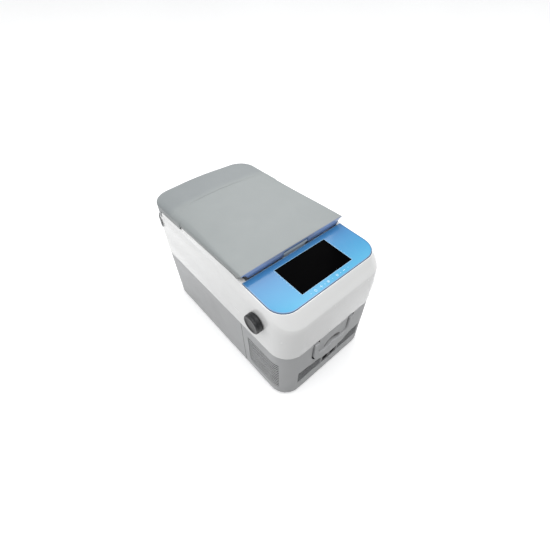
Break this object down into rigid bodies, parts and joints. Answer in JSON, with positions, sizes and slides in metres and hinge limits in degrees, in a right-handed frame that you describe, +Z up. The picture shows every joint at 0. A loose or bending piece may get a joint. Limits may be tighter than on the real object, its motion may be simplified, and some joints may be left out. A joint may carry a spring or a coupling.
{
  "type": "portable refrigerated transport box",
  "caption": "Portable compressor-cooled insulated box with a hinged lid, sloping touch panel, side vents, strap studs and a folding bail handle at each end.",
  "frame": {"origin": "on the floor, under the middle of the box's bounding box", "axes": "+Z up, -Y towards the control panel end, +Y towards the lid hinge, +X to the right seen from the panel end"},
  "size_m": [0.3654, 0.5745, 0.3645],
  "materials": {
    "grey_shell": "fine satin texture",
    "lid_grey": "satin",
    "white_shell": "gloss",
    "panel_blue": "high gloss",
    "display_black": "high gloss",
    "bright_trim": "polished",
    "black_plastic": "satin",
    "stud_grey": "satin",
    "rubber": "matt",
    "steel": "zinc plated",
    "aluminium": "plain",
    "copper": "drawn tube",
    "foam": "rigid foam",
    "circuit_board": "solder mask"
  },
  "bodies": {
    "root": {"ac_inlet": "black_plastic", "base_front_cover": "grey_shell", "base_rear_tub": "grey_shell", "bulkhead": "steel", "chamber_liner": "white_shell", "compressor": "black_plastic", "compressor_bracket": "steel", "condenser": "aluminium", "dc_inlet": "black_plastic", "discharge_pipe": "copper", "display_glass": "display_black", "display_module": "black_plastic", "evaporator_sleeve": "aluminium", "fan_frame": "black_plastic", "filter_drier": "copper", "foam_body": "foam", "foot_1": "rubber", "foot_2": "rubber", "foot_3": "rubber", "foot_4": "rubber", "front_handle_pin_left": "steel", "front_handle_pin_right": "steel", "front_louvre_left": "grey_shell", "front_louvre_right": "grey_shell", "grommet_1": "rubber", "grommet_2": "rubber", "grommet_3": "rubber", "grommet_4": "rubber", "heat_sink": "aluminium", "hinge_bracket_left": "grey_shell", "hinge_bracket_right": "grey_shell", "hinge_pin_left": "steel", "hinge_pin_right": "steel", "interior_lamp": "white_shell", "latch_strike": "steel", "machine_floor": "steel", "panel_fascia": "panel_blue", "panel_rim": "bright_trim", "power_board": "circuit_board", "rear_handle_pin_left": "steel", "rear_handle_pin_right": "steel", "socket_block": "black_plastic", "strap_stud_left": "stud_grey", "strap_stud_right": "stud_grey", "suction_pipe": "copper", "upper_housing": "white_shell", "vent_grille_left": "grey_shell", "vent_grille_right": "grey_shell"},
    "lid": {"lid_outer": "lid_grey", "lid_inner": "white_shell", "lid_foam": "foam", "lid_gasket": "rubber", "hinge_arm_left": "steel", "hinge_arm_right": "steel", "latch_pin": "steel", "latch_spring": "steel"},
    "latch": {"lid_latch": "grey_shell"},
    "front_bail": {"front_handle": "grey_shell"},
    "rear_bail": {"rear_handle": "grey_shell"},
    "fan": {"fan_rotor": "black_plastic"}
  },
  "joints": [
    {"name": "lid_hinge", "type": "hinge", "parent": "root", "child": "lid", "pos_m": [0, 0.28, 0.315], "axis": [-1, 0, 0], "range_deg": [0, 95]},
    {"name": "latch_pivot", "type": "hinge", "parent": "lid", "child": "latch", "pos_m": [0, -0.1235, 0.353], "axis": [1, 0, 0], "range_deg": [0, 14], "stiffness_Nm_per_rad": 0.05, "springref_deg": -11.46},
    {"name": "front_handle_pivot", "type": "hinge", "parent": "root", "child": "front_bail", "pos_m": [0, -0.276, 0.1755], "axis": [-1, 0, 0], "range_deg": [0, 90]},
    {"name": "rear_handle_pivot", "type": "hinge", "parent": "root", "child": "rear_bail", "pos_m": [0, 0.2745, 0.1755], "axis": [1, 0, 0], "range_deg": [0, 90]},
    {"name": "fan_spin", "type": "hinge", "parent": "root", "child": "fan", "pos_m": [-0.1, -0.193, 0.093], "axis": [1, 0, 0], "continuous": true}
  ]
}
